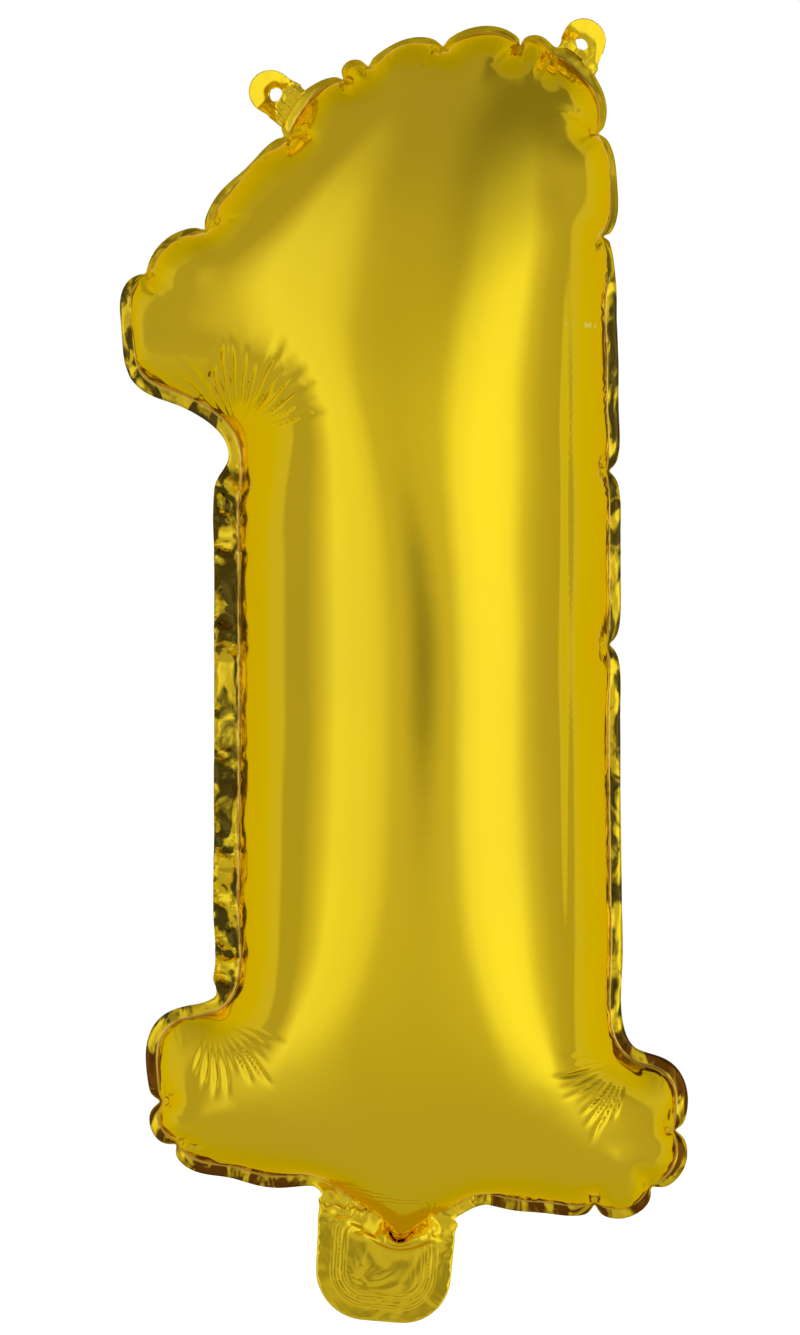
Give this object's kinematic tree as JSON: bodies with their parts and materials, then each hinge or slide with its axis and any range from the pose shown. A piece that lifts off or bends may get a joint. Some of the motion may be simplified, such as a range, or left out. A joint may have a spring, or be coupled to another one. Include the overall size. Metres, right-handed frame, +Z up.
{
  "type": "foil number balloon",
  "caption": "Air-filled gold foil balloon in the shape of the digit one, with a welded border, punched hanging tabs and a flat self-sealing inflation neck.",
  "frame": {"origin": "midway between the centres of the two hanging eyelets, on the plane of the weld, where a hanging line would pass", "axes": "+Z up the digit, +X to the reader's right, -Y towards the reader"},
  "size_m": [0.1767, 0.116, 0.4041],
  "materials": {
    "gold_film": "glossy gold metallised polyester film",
    "clear_film": "clear heat-sealed polyethylene film"
  },
  "bodies": {
    "envelope": {"front_panel": "gold_film", "back_panel": "gold_film", "valve_front_film": "clear_film", "valve_back_film": "clear_film"},
    "tab_left": {"hang_tab_left": "gold_film"},
    "tab_right": {"hang_tab_right": "gold_film"},
    "neck": {"neck_front_ply": "gold_film", "neck_back_ply": "gold_film", "valve_inlet_front_film": "clear_film", "valve_inlet_back_film": "clear_film"}
  },
  "joints": [
    {"name": "tab_left_fold", "type": "hinge", "parent": "envelope", "child": "tab_left", "pos_m": [-0.04211, 0, -0.01206], "axis": [0.7156, 0, 0.6985], "range_deg": [-90, 90], "stiffness_Nm_per_rad": 0.00005},
    {"name": "tab_right_fold", "type": "hinge", "parent": "envelope", "child": "tab_right", "pos_m": [0.04613, 0, 0.00377], "axis": [0.839, 0, -0.5442], "range_deg": [-90, 90], "stiffness_Nm_per_rad": 0.00005},
    {"name": "neck_fold", "type": "hinge", "parent": "envelope", "child": "neck", "pos_m": [-0.01121, 0, -0.35008], "axis": [0.9949, 0, -0.1008], "range_deg": [-90, 90], "stiffness_Nm_per_rad": 0.0002}
  ]
}
